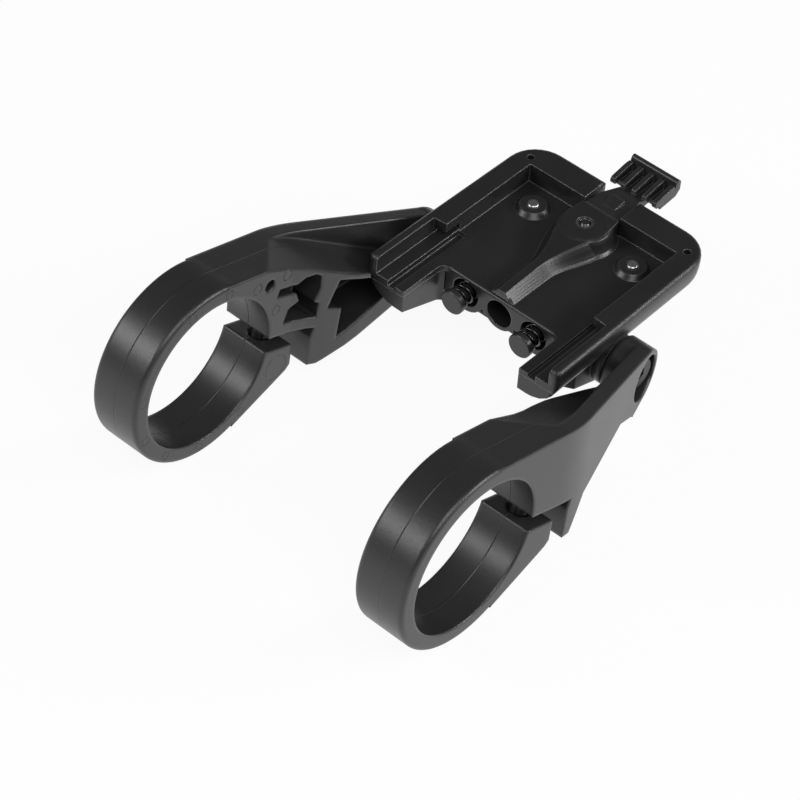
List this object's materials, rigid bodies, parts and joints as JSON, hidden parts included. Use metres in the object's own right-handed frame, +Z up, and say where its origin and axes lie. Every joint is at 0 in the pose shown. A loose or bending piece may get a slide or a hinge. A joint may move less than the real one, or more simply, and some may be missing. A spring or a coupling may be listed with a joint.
{
  "type": "bike display mount",
  "caption": "Out-front handlebar mount: bent plastic arms with split clamp rings carry a tilting slide-on display tray with sprung plungers, contact pins and a thumb release lever.",
  "frame": {"origin": "on the axis of the handlebar, midway between the two clamp rings", "axes": "+X along the handlebar towards the right clamp, +Y from the clamps towards the release lever, +Z up and square to the tray's floor"},
  "size_m": [0.0754, 0.1175, 0.0384],
  "materials": {
    "arm_plastic": "fine-textured black moulded plastic",
    "tray_plastic": "satin black moulded plastic",
    "base_plastic": "satin black moulded plastic",
    "lever_plastic": "smooth black moulded plastic",
    "plunger_plastic": "matt black moulded plastic",
    "screw_steel": "stainless steel",
    "spring_steel": "drawn spring wire",
    "contact_metal": "bright plated metal",
    "insert_brass": "plain brass",
    "board": "lacquered circuit board"
  },
  "bodies": {
    "mount": {"left_clamp_arm": "arm_plastic", "right_clamp_arm": "arm_plastic", "left_clamp_screw": "screw_steel", "right_clamp_screw": "screw_steel", "left_thread_insert": "insert_brass", "right_thread_insert": "insert_brass"},
    "tray": {"tray": "tray_plastic", "tray_base": "base_plastic", "base_screws": "screw_steel", "left_tilt_bolt": "screw_steel", "right_tilt_bolt": "screw_steel", "left_tilt_nut": "screw_steel", "right_tilt_nut": "screw_steel", "left_tilt_washer": "screw_steel", "right_tilt_washer": "screw_steel", "lever_pin": "screw_steel", "lever_spring": "spring_steel", "lock_screw": "screw_steel", "lock_bush": "contact_metal", "left_contact_spring": "spring_steel", "right_contact_spring": "spring_steel", "contact_board": "board", "board_screws": "screw_steel", "left_plunger_spring": "spring_steel", "right_plunger_spring": "spring_steel"},
    "lever": {"release_lever": "lever_plastic"},
    "left_plunger": {"left_plunger": "plunger_plastic", "left_plunger_clip": "spring_steel"},
    "right_plunger": {"right_plunger": "plunger_plastic", "right_plunger_clip": "spring_steel"},
    "left_contact": {"left_contact_pin": "contact_metal"},
    "right_contact": {"right_contact_pin": "contact_metal"}
  },
  "joints": [
    {"name": "tray_tilt", "type": "hinge", "parent": "mount", "child": "tray", "pos_m": [0, 0.059, -0.0039], "axis": [1, 0, 0], "range_deg": [-25, 20]},
    {"name": "lever_press", "type": "hinge", "parent": "tray", "child": "lever", "pos_m": [0, 0.0824, 0.0039], "axis": [-1, 0, 0], "range_deg": [0, 7], "stiffness_Nm_per_rad": 0.4, "springref_deg": -5.73, "deforming": ["lever_spring"]},
    {"name": "left_plunger_slide", "type": "slide", "parent": "tray", "child": "left_plunger", "axis": [0, 1, 0], "range_m": [0, 0.0025], "stiffness_N_per_m": 600, "springref_m": -0.003, "deforming": ["left_plunger_spring"]},
    {"name": "right_plunger_slide", "type": "slide", "parent": "tray", "child": "right_plunger", "axis": [0, 1, 0], "range_m": [0, 0.0025], "stiffness_N_per_m": 600, "springref_m": -0.003, "deforming": ["right_plunger_spring"]},
    {"name": "left_contact_press", "type": "slide", "parent": "tray", "child": "left_contact", "axis": [0, 0, -1], "range_m": [0, 0.0008], "stiffness_N_per_m": 500, "springref_m": -0.001, "deforming": ["left_contact_spring"]},
    {"name": "right_contact_press", "type": "slide", "parent": "tray", "child": "right_contact", "axis": [0, 0, -1], "range_m": [0, 0.0008], "stiffness_N_per_m": 500, "springref_m": -0.001, "deforming": ["right_contact_spring"]}
  ]
}
